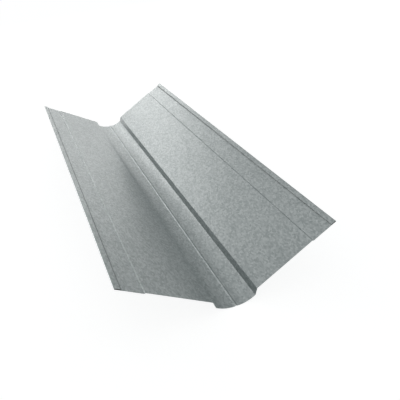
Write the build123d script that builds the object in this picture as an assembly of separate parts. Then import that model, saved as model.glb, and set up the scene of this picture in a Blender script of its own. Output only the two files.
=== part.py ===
"""Valley flashing: one folded sheet that lines the valley between two roof slopes.

X runs across the valley, Y along it and Z up. The origin is on the floor, under the middle of the piece.
"""

from build123d import *
from math import cos, radians, sin
import os

# Driving dimensions, in millimetres and degrees

# The sheet and its length along the valley
LENGTH = 1250.0
SHEET = 0.5

# Every fold has this radius on its inside unless it has one of its own below
FOLD_RADIUS = 1.0

# Raised bead along the centre of the channel
BEAD_HEIGHT = 1.4
BEAD_SLOPE = 30.0
BEAD_RADIUS = 1.2

# Channel floor, an arc from the bead to the foot of the step
CHANNEL_RADIUS = 75.0
CHANNEL_RISE = 33.0

# Step wall between the channel and the wing
STEP_WALL = 15.5
STEP_PITCH = 72.5

# Wing, and the joggle that sets the outer strip below the wing's plane
WING_WIDTH = 150.0
WING_PITCH = 30.0
JOGGLE_DROP = 2.2
JOGGLE_SLOPE = 55.0

# Outer strip, and the open hem folded back over it
STRIP_WIDTH = 59.8
HEM_WIDTH = 12.0
HEM_GAP = 1.5


def slanted_run(rise, slope, bend_radius):
    """Straight run between two equal and opposite bends that together climb by rise."""
    climb_of_bends = 2 * bend_radius * (1 - cos(radians(slope)))
    return (rise - climb_of_bends) / sin(radians(slope))


def bend_table():
    """The section from its centre outwards: straight run, then turn, then inside radius of the turn."""
    bead_flank = slanted_run(BEAD_HEIGHT, BEAD_SLOPE, BEAD_RADIUS + SHEET / 2)
    joggle_ramp = slanted_run(JOGGLE_DROP, JOGGLE_SLOPE, FOLD_RADIUS + SHEET / 2)
    hem_leg = HEM_WIDTH - HEM_GAP / 2 - SHEET
    return [
        (0, -BEAD_SLOPE, BEAD_RADIUS),
        (bead_flank, BEAD_SLOPE, BEAD_RADIUS),
        (0, CHANNEL_RISE, CHANNEL_RADIUS),
        (0, STEP_PITCH - CHANNEL_RISE, FOLD_RADIUS),
        (STEP_WALL, WING_PITCH - STEP_PITCH, FOLD_RADIUS),
        (WING_WIDTH, -JOGGLE_SLOPE, FOLD_RADIUS),
        (joggle_ramp, JOGGLE_SLOPE, FOLD_RADIUS),
        (STRIP_WIDTH, 180, HEM_GAP / 2),
        (hem_leg, 0, 0),
    ]


def fold_line(start):
    """Underside of one half of the section: straight runs joined by arcs that meet them tangent."""
    edges = []
    heading = 0
    for run, turn, inside_radius in bend_table():
        if run > 0:
            edges.append(PolarLine(start, run, heading))
            start = edges[-1] @ 1
        if turn:
            inside_is_above = turn > 0
            radius = inside_radius + SHEET if inside_is_above else inside_radius
            edges.append(JernArc(start, (cos(radians(heading)), sin(radians(heading))), radius, turn))
            start = edges[-1] @ 1
            heading += turn
    return edges


def valley_sheet():
    """The whole folded sheet, with its underside on the floor beside the bead."""
    right_half = fold_line(start=(0, BEAD_HEIGHT))
    left_half = [mirror(edge, about=Plane.YZ) for edge in right_half]
    underside = Wire.combine([*right_half, *left_half])[0]
    section = make_face(underside.offset_2d(SHEET, side=Side.LEFT))
    return extrude(Plane.XZ * section, LENGTH / 2, both=True)


os.makedirs("parts", exist_ok=True)
sheet = valley_sheet()
size = sheet.bounding_box().size
print(f"overall {size.X:.2f} x {size.Y:.2f} x {size.Z:.2f}, flat blank {sheet.volume / SHEET / LENGTH:.1f} wide")
export_step(sheet, "parts/valley_sheet.step")
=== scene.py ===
"""Looks of a valley flashing: one folded sheet of metal-coated steel with a fine spangle."""

import math

import bpy
import numpy as np
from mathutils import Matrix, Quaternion, Vector


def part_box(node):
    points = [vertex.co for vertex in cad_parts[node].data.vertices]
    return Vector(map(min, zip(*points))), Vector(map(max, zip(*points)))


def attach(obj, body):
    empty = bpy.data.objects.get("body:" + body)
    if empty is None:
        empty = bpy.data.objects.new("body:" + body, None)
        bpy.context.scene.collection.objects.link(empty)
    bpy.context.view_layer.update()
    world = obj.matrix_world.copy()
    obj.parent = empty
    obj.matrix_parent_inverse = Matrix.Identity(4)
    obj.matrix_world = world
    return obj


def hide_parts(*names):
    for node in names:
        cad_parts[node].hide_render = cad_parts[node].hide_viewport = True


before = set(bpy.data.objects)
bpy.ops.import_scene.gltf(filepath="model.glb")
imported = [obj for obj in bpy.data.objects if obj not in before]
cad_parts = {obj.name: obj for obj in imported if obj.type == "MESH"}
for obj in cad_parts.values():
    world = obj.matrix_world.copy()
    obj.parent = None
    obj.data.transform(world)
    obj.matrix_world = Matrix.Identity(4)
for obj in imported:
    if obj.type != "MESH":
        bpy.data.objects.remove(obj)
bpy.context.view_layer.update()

MM = 0.001
NODE = "valley_sheet"
BODY = "root"

# Section of the sheet, folded as the CAD part folds it, in metres and degrees
SHEET = 0.5 * MM
FOLD_RADIUS = 1.0 * MM
BEAD_HEIGHT = 1.4 * MM
BEAD_SLOPE = 30.0
BEAD_RADIUS = 1.2 * MM
CHANNEL_RADIUS = 75.0 * MM
CHANNEL_RISE = 33.0
STEP_WALL = 15.5 * MM
STEP_PITCH = 72.5
WING_WIDTH = 150.0 * MM
WING_PITCH = 30.0
JOGGLE_DROP = 2.2 * MM
JOGGLE_SLOPE = 55.0
STRIP_WIDTH = 59.8 * MM
HEM_WIDTH = 12.0 * MM
HEM_GAP = 1.5 * MM

# Painted shade inside the hems, and a painted shade line beside their free edges, uneven along the
# length
PAINTED_SHADE_ATTRIBUTE = "painted_shade"
PAINTED_SHADE_LINE = 4.5 * MM
LEFT_SHADE_NEAR, LEFT_SHADE_FAR = 0.72, 0.85
RIGHT_SHADE_NEAR, RIGHT_SHADE_FAR = 0.05, 0.60
# Dark tone and duller gloss of the painted shade, standing in for shadow in and beside the hem gaps
PAINTED_SHADE_TONE = (0.090, 0.096, 0.096, 1.0)
PAINTED_SHADE_ROUGHNESS = 0.75

# How finely the sheet is divided across its folds, over its flats and along its length
FOLD_STEP_DEGREES = 7.5
ARC_STEP = 3.0 * MM
FLAT_STEP = 7.5 * MM
FEWEST_FLAT_STEPS = 3
STATIONS = 96
SHARP_EDGE_DEGREES = 40.0

# Small unevenness of real folded sheet: wings that are not dead flat, hems that open a little unevenly
WING_WAVE = 0.25 * MM
WING_SEED = 1.0
HEM_WAVE = 0.25 * MM
HEM_SEED = 4.0

# The waves in that unevenness: share of the height, waves in the length, shift by the seed, fixed shift
WAVES = (
    (0.5, 2.3, 1.7, 0.0),
    (0.3, 4.1, 2.9, 0.6),
    (0.2, 7.7, 0.8, 2.2),
)

# The camera of the photograph
CAMERA_EYE = Vector((-0.2990, -1.3725, 0.6991))
CAMERA_AIM = Vector((0.0978, -0.1614, 0.0))
CAMERA_ROLL = math.radians(6.17)
CAMERA_LENS_MM = 45.2
CAMERA_SENSOR_MM = 36.0

# Studio: a pale floor, and a pale room that is lighter overhead
FLOOR_SIZE = 40.0
FLOOR_COLOUR = (0.32, 0.32, 0.32, 1.0)
FLOOR_GLOW = 0.85
ROOM_COLOUR = (0.96, 1.0, 1.0, 1.0)
ROOM_LEVEL_LOW = 0.30
ROOM_LEVEL_HIGH = 0.56

# Beyond the far end, one long soft lamp in two halves, and dim fills with their places and radiance
LAMP_COLOUR = (1.0, 0.975, 0.965)
LAMP_AIM = Vector((0.0, 0.0, 0.05))
LAMP_PLACE = Vector((-0.134, 3.794, 1.311))
LAMP_ROLL = math.radians(-19.0)
LAMP_WIDTH = 5.89
LAMP_HEIGHT = 0.449
LEFT_LAMP_RADIANCE = 3.48
RIGHT_LAMP_RADIANCE = 2.96
FILL_SIZE = 1.02
FILLS = {
    "low_fill": (Vector((0.0, 3.97, 0.56)), 0.89),
    "right_fill": (Vector((2.81, 2.81, 0.56)), 0.90),
    "top_fill": (Vector((-0.67, 2.48, 3.11)), 0.62),
}

# Spangle: crystals about 3 mm across and longer along the sheet, each with its own tone and gloss
CRYSTALS_PER_METRE = 320.0
LENGTHWISE_STRETCH = 2.0
GRIT_PER_METRE = 420.0
GRIT_DETAIL = 3.0
GRIT_SHARE = 0.35
BLOOM_PER_METRE = 40.0
BLOOM_DETAIL = 4.0
BLOOM_SHARE = 0.20
DARK_BELOW, LIGHT_ABOVE = 0.08, 0.92
DARK_TONE = (0.300, 0.335, 0.337, 1.0)
LIGHT_TONE = (0.595, 0.628, 0.628, 1.0)
METAL_SHARE = 0.7
ROUGH_LOW = 0.35
ROUGH_HIGH = 0.41
GRIT_RELIEF = 0.05 * MM
GRIT_RELIEF_STRENGTH = 0.25


def slanted_run(rise, slope, bend_radius):
    """Straight run between two equal and opposite bends that together climb by rise."""
    climb_of_bends = 2 * bend_radius * (1 - math.cos(math.radians(slope)))
    return (rise - climb_of_bends) / math.sin(math.radians(slope))


def bend_table():
    """The section from its centre outwards: name, straight run, turn after it, inside radius of turn."""
    bead_flank = slanted_run(BEAD_HEIGHT, BEAD_SLOPE, BEAD_RADIUS + SHEET / 2)
    joggle_ramp = slanted_run(JOGGLE_DROP, JOGGLE_SLOPE, FOLD_RADIUS + SHEET / 2)
    hem_leg = HEM_WIDTH - HEM_GAP / 2 - SHEET
    return [
        ("bead", 0, -BEAD_SLOPE, BEAD_RADIUS),
        ("bead", bead_flank, BEAD_SLOPE, BEAD_RADIUS),
        ("channel", 0, CHANNEL_RISE, CHANNEL_RADIUS),
        ("channel", 0, STEP_PITCH - CHANNEL_RISE, FOLD_RADIUS),
        ("step", STEP_WALL, WING_PITCH - STEP_PITCH, FOLD_RADIUS),
        ("wing", WING_WIDTH, -JOGGLE_SLOPE, FOLD_RADIUS),
        ("joggle", joggle_ramp, JOGGLE_SLOPE, FOLD_RADIUS),
        ("strip", STRIP_WIDTH - hem_leg - PAINTED_SHADE_LINE, 0, 0),
        # Band of the strip beside the hem's free edge, which carries the painted shade line
        ("painted shade line", PAINTED_SHADE_LINE, 0, 0),
        ("covered strip", hem_leg, 180, HEM_GAP / 2),
        ("hem", hem_leg, 0, 0),
    ]


def half_section():
    """Right half of the underside, centre outwards: x, z, heading, name of run, share of the run."""
    x, z, heading = 0.0, BEAD_HEIGHT, 0.0
    samples = [(x, z, heading, "bead", 0.0)]
    for name, run, turn, inside_radius in bend_table():
        if run > 0:
            ahead_x = run * math.cos(math.radians(heading))
            ahead_z = run * math.sin(math.radians(heading))
            steps = max(FEWEST_FLAT_STEPS, round(run / FLAT_STEP))
            for step in range(1, steps + 1):
                # Closer together near both folds, so that shading stays flat between them
                part = (1 - math.cos(math.pi * step / steps)) / 2
                samples.append((x + ahead_x * part, z + ahead_z * part, heading, name, part))
            x, z = samples[-1][:2]
        if turn:
            radius = inside_radius + SHEET if turn > 0 else inside_radius
            side = math.copysign(1, turn)
            arc_length = radius * math.radians(abs(turn))
            steps = max(math.ceil(abs(turn) / FOLD_STEP_DEGREES), math.ceil(arc_length / ARC_STEP))
            centre_x = x - side * radius * math.sin(math.radians(heading))
            centre_z = z + side * radius * math.cos(math.radians(heading))
            for step in range(1, steps + 1):
                angle = heading + turn * step / steps
                x = centre_x + side * radius * math.sin(math.radians(angle))
                z = centre_z - side * radius * math.cos(math.radians(angle))
                samples.append((x, z, angle, f"{name} fold", step / steps))
            heading += turn
    return samples


def painted_shade_on_top(side, name, part, along):
    """Painted shade on the upper face along one line of the sheet: full inside the hem, fading out
    beside it.
    """
    if name in ("covered strip", "covered strip fold", "hem"):
        return np.ones_like(along)
    if name == "painted shade line":
        near, far = (LEFT_SHADE_NEAR, LEFT_SHADE_FAR) if side < 0 else (RIGHT_SHADE_NEAR, RIGHT_SHADE_FAR)
        return min(1.0, 2 * part) * (near + (far - near) * along)
    return np.zeros_like(along)


def wave(along, seed):
    """A slow, gentle unevenness along the length, between about -1 and 1."""
    return sum(
        share * np.sin(2 * math.pi * along * count + by_seed * seed + shift)
        for share, count, by_seed, shift in WAVES
    )


def sheet_mesh(near, far):
    """The whole folded sheet as one closed mesh between its near and far ends."""
    right = half_section()
    sections = [(-1, sample) for sample in reversed(right[1:])] + [(1, sample) for sample in right]
    along = np.linspace(0.0, 1.0, STATIONS)
    y = near + (far - near) * along
    under = np.zeros((len(sections), STATIONS, 3))
    top = np.zeros_like(under)
    painted_shade = np.zeros((len(sections), STATIONS))
    for index, (side, (x, z, heading, name, part)) in enumerate(sections):
        painted_shade[index] = painted_shade_on_top(side, name, part, along)
        up_x = -math.sin(math.radians(heading))
        up_z = math.cos(math.radians(heading))
        offset = np.zeros(STATIONS)
        if name == "wing":
            offset = WING_WAVE * math.sin(math.pi * part) ** 2 * wave(along, WING_SEED + side)
        if name == "hem":
            offset = HEM_WAVE * part**2 * wave(along, HEM_SEED + side)
        for level, points in ((0.0, under), (SHEET, top)):
            points[index, :, 0] = side * (x + up_x * (level + offset))
            points[index, :, 1] = y
            points[index, :, 2] = z + up_z * (level + offset)
    mesh = closed_strip_mesh(under, top)
    # The painted shade goes on the upper face's points only, inside the hems and beside them
    painted_shade_of_points = np.concatenate([np.zeros(painted_shade.size), painted_shade.ravel()])
    mesh.attributes.new(PAINTED_SHADE_ATTRIBUTE, "FLOAT", "POINT").data.foreach_set("value", painted_shade_of_points)
    return mesh


def closed_strip_mesh(under, top):
    """Joins the two faces of a strip, given as grids of points, and closes all four of its cut edges."""
    count, stations = under.shape[:2]
    grid = np.arange(count * stations).reshape(count, stations)
    low, high = grid, grid + count * stations

    def quads(a, b, c, d):
        return np.stack([a, b, c, d], axis=-1).reshape(-1, 4)

    faces = np.concatenate([
        quads(high[:-1, :-1], high[1:, :-1], high[1:, 1:], high[:-1, 1:]),
        quads(low[:-1, :-1], low[:-1, 1:], low[1:, 1:], low[1:, :-1]),
        quads(low[:-1, 0], low[1:, 0], high[1:, 0], high[:-1, 0]),
        quads(low[:-1, -1], high[:-1, -1], high[1:, -1], low[1:, -1]),
        quads(low[0, :-1], high[0, :-1], high[0, 1:], low[0, 1:]),
        quads(low[-1, :-1], low[-1, 1:], high[-1, 1:], high[-1, :-1]),
    ])
    points = np.concatenate([under.reshape(-1, 3), top.reshape(-1, 3)])
    mesh = bpy.data.meshes.new("folded_sheet")
    mesh.from_pydata(points.tolist(), [], faces.tolist())
    mesh.validate()
    mesh.shade_smooth()
    mesh.set_sharp_from_angle(angle=math.radians(SHARP_EDGE_DEGREES))
    return mesh


def noise(tree, place, per_metre, detail):
    """Soft noise of one fineness."""
    texture = tree.nodes.new("ShaderNodeTexNoise")
    texture.inputs["Scale"].default_value = per_metre
    texture.inputs["Detail"].default_value = detail
    tree.links.new(place.outputs["Vector"], texture.inputs["Vector"])
    return texture.outputs["Fac"]


def blend(tree, first, second, share_of_second):
    """Blend of two values that vary over the surface."""
    mix = tree.nodes.new("ShaderNodeMix")
    mix.inputs["Factor"].default_value = share_of_second
    tree.links.new(first, mix.inputs["A"])
    tree.links.new(second, mix.inputs["B"])
    return mix.outputs["Result"]


def spangle_tone(tree, crystal, grit, bloom):
    """Tone of the crystals, broken up by the grit and drifting slowly with the bloom."""
    speckle = blend(tree, crystal, grit, GRIT_SHARE)
    mottle = blend(tree, speckle, bloom, BLOOM_SHARE)
    tone = tree.nodes.new("ShaderNodeValToRGB")
    dark, light = tone.color_ramp.elements
    dark.position = DARK_BELOW
    dark.color = DARK_TONE
    light.position = LIGHT_ABOVE
    light.color = LIGHT_TONE
    tree.links.new(mottle, tone.inputs["Fac"])
    return tone.outputs["Color"]


def with_painted_shade(tree, kind, clean, value_in_painted_shade):
    """A tone or gloss of the clean sheet, which gives way to that of the painted shade where its mask is
    set.
    """
    painted_shade = tree.nodes.new("ShaderNodeAttribute")
    painted_shade.attribute_name = PAINTED_SHADE_ATTRIBUTE
    mix = tree.nodes.new("ShaderNodeMix")
    mix.data_type = kind
    mix.inputs["B"].default_value = value_in_painted_shade
    tree.links.new(painted_shade.outputs["Fac"], mix.inputs["Factor"])
    tree.links.new(clean, mix.inputs["A"])
    return mix.outputs["Result"]


def coated_steel():
    """Metal-coated steel: matt grey, with a fine spangle that catches the light unevenly."""
    material = bpy.data.materials.new("coated_steel")
    material.use_nodes = True
    tree = material.node_tree
    shader = tree.nodes["Principled BSDF"]
    # A thin matt film on the metal scatters part of the light
    shader.inputs["Metallic"].default_value = METAL_SHARE

    place = tree.nodes.new("ShaderNodeTexCoord")
    stretched = tree.nodes.new("ShaderNodeMapping")
    stretched.inputs["Scale"].default_value = (1.0, 1.0 / LENGTHWISE_STRETCH, 1.0)
    tree.links.new(place.outputs["Object"], stretched.inputs["Vector"])
    spangle = tree.nodes.new("ShaderNodeTexVoronoi")
    spangle.inputs["Scale"].default_value = CRYSTALS_PER_METRE
    tree.links.new(stretched.outputs["Vector"], spangle.inputs["Vector"])
    crystal = tree.nodes.new("ShaderNodeSeparateColor")
    tree.links.new(spangle.outputs["Color"], crystal.inputs["Color"])
    grit = noise(tree, stretched, GRIT_PER_METRE, GRIT_DETAIL)
    bloom = noise(tree, stretched, BLOOM_PER_METRE, BLOOM_DETAIL)

    tone = spangle_tone(tree, crystal.outputs["Red"], grit, bloom)
    # Base colour darkened to a painted shade tone in and beside the hems
    tree.links.new(with_painted_shade(tree, "RGBA", tone, PAINTED_SHADE_TONE), shader.inputs["Base Color"])

    # Each crystal has its own gloss
    rough = tree.nodes.new("ShaderNodeMapRange")
    rough.inputs["To Min"].default_value = ROUGH_LOW
    rough.inputs["To Max"].default_value = ROUGH_HIGH
    tree.links.new(crystal.outputs["Green"], rough.inputs["Value"])
    # Gloss made duller where the painted shade is laid
    roughness = with_painted_shade(tree, "FLOAT", rough.outputs["Result"], PAINTED_SHADE_ROUGHNESS)
    tree.links.new(roughness, shader.inputs["Roughness"])

    # Fine relief of the grit
    relief = tree.nodes.new("ShaderNodeBump")
    relief.inputs["Strength"].default_value = GRIT_RELIEF_STRENGTH
    relief.inputs["Distance"].default_value = GRIT_RELIEF
    tree.links.new(grit, relief.inputs["Height"])
    tree.links.new(relief.outputs["Normal"], shader.inputs["Normal"])
    return material


def make_sheet():
    """The folded sheet, in place of the plain solid."""
    low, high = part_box(NODE)
    sheet = bpy.data.objects.new("folded_valley_sheet", sheet_mesh(low.y, high.y))
    bpy.context.scene.collection.objects.link(sheet)
    sheet.data.materials.append(coated_steel())
    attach(sheet, BODY)
    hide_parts(NODE)


def pale_floor():
    """Pale floor that shows white to the camera and to the metal, and keeps the object's shadow."""
    material = bpy.data.materials.new("pale_floor")
    material.use_nodes = True
    nodes = material.node_tree.nodes
    links = material.node_tree.links
    nodes.remove(nodes["Principled BSDF"])
    diffuse = nodes.new("ShaderNodeBsdfDiffuse")
    diffuse.inputs["Color"].default_value = FLOOR_COLOUR
    path = nodes.new("ShaderNodeLightPath")
    seen = nodes.new("ShaderNodeMath")
    seen.operation = "MAXIMUM"
    links.new(path.outputs["Is Camera Ray"], seen.inputs[0])
    links.new(path.outputs["Is Glossy Ray"], seen.inputs[1])
    seen_at_all = nodes.new("ShaderNodeMath")
    seen_at_all.operation = "MAXIMUM"
    links.new(seen.outputs["Value"], seen_at_all.inputs[0])
    links.new(path.outputs["Is Transmission Ray"], seen_at_all.inputs[1])
    strength = nodes.new("ShaderNodeMath")
    strength.operation = "MULTIPLY"
    strength.inputs[1].default_value = FLOOR_GLOW
    links.new(seen_at_all.outputs["Value"], strength.inputs[0])
    glow = nodes.new("ShaderNodeEmission")
    links.new(strength.outputs["Value"], glow.inputs["Strength"])
    both = nodes.new("ShaderNodeAddShader")
    links.new(diffuse.outputs["BSDF"], both.inputs[0])
    links.new(glow.outputs["Emission"], both.inputs[1])
    links.new(both.outputs["Shader"], nodes["Material Output"].inputs["Surface"])
    return material


def make_floor():
    """A plain level floor under the sheet."""
    half = FLOOR_SIZE / 2
    corners = [(-half, -half, 0.0), (half, -half, 0.0), (half, half, 0.0), (-half, half, 0.0)]
    mesh = bpy.data.meshes.new("floor")
    mesh.from_pydata(corners, [], [(0, 1, 2, 3)])
    floor = bpy.data.objects.new("floor", mesh)
    bpy.context.scene.collection.objects.link(floor)
    mesh.materials.append(pale_floor())


def make_room():
    """Light from all around, stronger from overhead."""
    world = bpy.data.worlds.new("studio")
    bpy.context.scene.world = world
    world.use_nodes = True
    nodes = world.node_tree.nodes
    links = world.node_tree.links
    direction = nodes.new("ShaderNodeTexCoord")
    parts = nodes.new("ShaderNodeSeparateXYZ")
    links.new(direction.outputs["Generated"], parts.inputs["Vector"])
    level = nodes.new("ShaderNodeMapRange")
    level.inputs["To Min"].default_value = ROOM_LEVEL_LOW
    level.inputs["To Max"].default_value = ROOM_LEVEL_HIGH
    links.new(parts.outputs["Z"], level.inputs["Value"])
    room = nodes["Background"]
    room.inputs["Color"].default_value = ROOM_COLOUR
    links.new(level.outputs["Result"], room.inputs["Strength"])


def make_lamps():
    """The two halves of the long lamp, side by side, and the fills."""
    turn = looking(LAMP_PLACE, LAMP_AIM, LAMP_ROLL)
    aside = turn @ Vector((LAMP_WIDTH / 4, 0.0, 0.0))
    half_lamp = (LAMP_WIDTH / 2, LAMP_HEIGHT)
    soft_lamp("left_lamp", LAMP_PLACE + aside, turn, half_lamp, LEFT_LAMP_RADIANCE)
    soft_lamp("right_lamp", LAMP_PLACE - aside, turn, half_lamp, RIGHT_LAMP_RADIANCE)
    for name, (place, radiance) in FILLS.items():
        soft_lamp(name, place, looking(place, LAMP_AIM), (FILL_SIZE, FILL_SIZE), radiance)


def soft_lamp(name, place, turn, size, radiance):
    """A flat lamp that looks equally bright from everywhere in front of it."""
    lamp = bpy.data.lights.new(name, "AREA")
    lamp.shape = "RECTANGLE"
    lamp.size, lamp.size_y = size
    lamp.color = LAMP_COLOUR
    lamp.energy = math.pi * lamp.size * lamp.size_y * radiance
    put(name, lamp, place, turn)


def make_camera():
    """The photograph's own viewpoint, with its slight roll."""
    camera = bpy.data.cameras.new("camera")
    camera.sensor_width = CAMERA_SENSOR_MM
    camera.lens = CAMERA_LENS_MM
    turn = looking(CAMERA_EYE, CAMERA_AIM, CAMERA_ROLL)
    bpy.context.scene.camera = put("camera", camera, CAMERA_EYE, turn)


def looking(place, aim, roll=0.0):
    """The turn of a lamp or camera that looks from its place at its aim, rolled about that line."""
    look = (aim - place).normalized()
    return Quaternion(look, roll) @ look.to_track_quat("-Z", "Y")


def put(name, data, place, turn):
    """Puts a lamp or camera into the scene."""
    holder = bpy.data.objects.new(name, data)
    bpy.context.scene.collection.objects.link(holder)
    holder.location = place
    holder.rotation_mode = "QUATERNION"
    holder.rotation_quaternion = turn
    return holder


make_sheet()
make_floor()
make_room()
make_lamps()
make_camera()
bpy.context.scene.view_settings.view_transform = "Standard"
